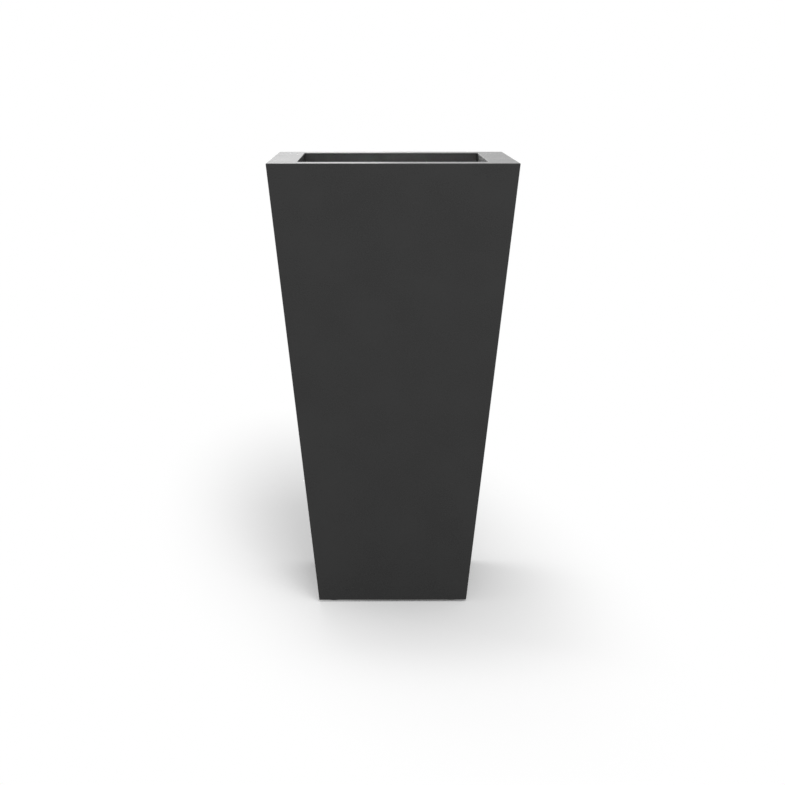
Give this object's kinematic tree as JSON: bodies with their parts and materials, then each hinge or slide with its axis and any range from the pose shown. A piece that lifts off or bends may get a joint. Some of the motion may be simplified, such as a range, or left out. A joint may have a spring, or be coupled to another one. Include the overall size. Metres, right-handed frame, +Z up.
{
  "type": "tall square planter",
  "caption": "Tall square planter that widens upwards, in charcoal powder-coated sheet metal, with a flat folded rim, a lift-out shelf, a drain plug and levelling feet.",
  "frame": {"origin": "on the ground, below the middle of the planter", "axes": "+Z up; the front panel faces -Y; +X to the right seen from the front"},
  "size_m": [0.4348, 0.4348, 0.804],
  "materials": {
    "powder_coat": "satin",
    "stainless_steel": "satin",
    "zinc_plated_steel": "satin",
    "black_rubber": "matte",
    "black_nylon": "matte"
  },
  "bodies": {
    "planter": {"front_panel": "powder_coat", "right_panel": "powder_coat", "rear_panel": "powder_coat", "left_panel": "powder_coat", "corner_angle_front_left": "powder_coat", "corner_angle_front_right": "powder_coat", "corner_angle_rear_left": "powder_coat", "corner_angle_rear_right": "powder_coat", "rim_gusset_front_left": "powder_coat", "rim_gusset_front_right": "powder_coat", "rim_gusset_rear_left": "powder_coat", "rim_gusset_rear_right": "powder_coat", "base_tray": "powder_coat", "shelf_ledge_front": "powder_coat", "shelf_ledge_right": "powder_coat", "shelf_ledge_rear": "powder_coat", "shelf_ledge_left": "powder_coat", "corner_studs": "stainless_steel", "corner_nuts": "stainless_steel", "rim_studs": "stainless_steel", "rim_nuts": "stainless_steel", "ledge_studs": "stainless_steel", "ledge_nuts": "stainless_steel", "tray_studs": "stainless_steel", "tray_nuts": "stainless_steel", "foot_inserts": "zinc_plated_steel", "drain_bush": "black_rubber"},
    "shelf": {"planting_shelf": "powder_coat"},
    "drain_plug": {"drain_plug": "black_rubber"},
    "foot_pad_front_left": {"foot_pad_front_left": "black_nylon"},
    "foot_stud_front_left": {"foot_stud_front_left": "zinc_plated_steel"},
    "foot_pad_front_right": {"foot_pad_front_right": "black_nylon"},
    "foot_stud_front_right": {"foot_stud_front_right": "zinc_plated_steel"},
    "foot_pad_rear_left": {"foot_pad_rear_left": "black_nylon"},
    "foot_stud_rear_left": {"foot_stud_rear_left": "zinc_plated_steel"},
    "foot_pad_rear_right": {"foot_pad_rear_right": "black_nylon"},
    "foot_stud_rear_right": {"foot_stud_rear_right": "zinc_plated_steel"}
  },
  "joints": [
    {"name": "shelf_lift", "type": "slide", "parent": "planter", "child": "shelf", "axis": [0, 0, 1], "range_m": [0, 0.5]},
    {"name": "plug_pull", "type": "slide", "parent": "planter", "child": "drain_plug", "axis": [0, 0, 1], "range_m": [0, 0.06]},
    {"name": "foot_travel_front_left", "type": "slide", "parent": "planter", "child": "foot_pad_front_left", "axis": [0, 0, 1], "range_m": [-0.01, 0]},
    {"name": "foot_turn_front_left", "type": "hinge", "parent": "foot_pad_front_left", "child": "foot_stud_front_left", "pos_m": [-0.10768, -0.10768, 0.008], "axis": [0, 0, 1], "range_deg": [-2880, 0]},
    {"name": "foot_travel_front_right", "type": "slide", "parent": "planter", "child": "foot_pad_front_right", "axis": [0, 0, 1], "range_m": [-0.01, 0]},
    {"name": "foot_turn_front_right", "type": "hinge", "parent": "foot_pad_front_right", "child": "foot_stud_front_right", "pos_m": [0.10768, -0.10768, 0.008], "axis": [0, 0, 1], "range_deg": [-2880, 0]},
    {"name": "foot_travel_rear_left", "type": "slide", "parent": "planter", "child": "foot_pad_rear_left", "axis": [0, 0, 1], "range_m": [-0.01, 0]},
    {"name": "foot_turn_rear_left", "type": "hinge", "parent": "foot_pad_rear_left", "child": "foot_stud_rear_left", "pos_m": [-0.10768, 0.10768, 0.008], "axis": [0, 0, 1], "range_deg": [-2880, 0]},
    {"name": "foot_travel_rear_right", "type": "slide", "parent": "planter", "child": "foot_pad_rear_right", "axis": [0, 0, 1], "range_m": [-0.01, 0]},
    {"name": "foot_turn_rear_right", "type": "hinge", "parent": "foot_pad_rear_right", "child": "foot_stud_rear_right", "pos_m": [0.10768, 0.10768, 0.008], "axis": [0, 0, 1], "range_deg": [-2880, 0]}
  ],
  "couplings": [
    {"joint": "foot_travel_front_left", "follows": "foot_turn_front_left", "m_per_rad": 0.00019894},
    {"joint": "foot_travel_front_right", "follows": "foot_turn_front_right", "m_per_rad": 0.00019894},
    {"joint": "foot_travel_rear_left", "follows": "foot_turn_rear_left", "m_per_rad": 0.00019894},
    {"joint": "foot_travel_rear_right", "follows": "foot_turn_rear_right", "m_per_rad": 0.00019894}
  ]
}
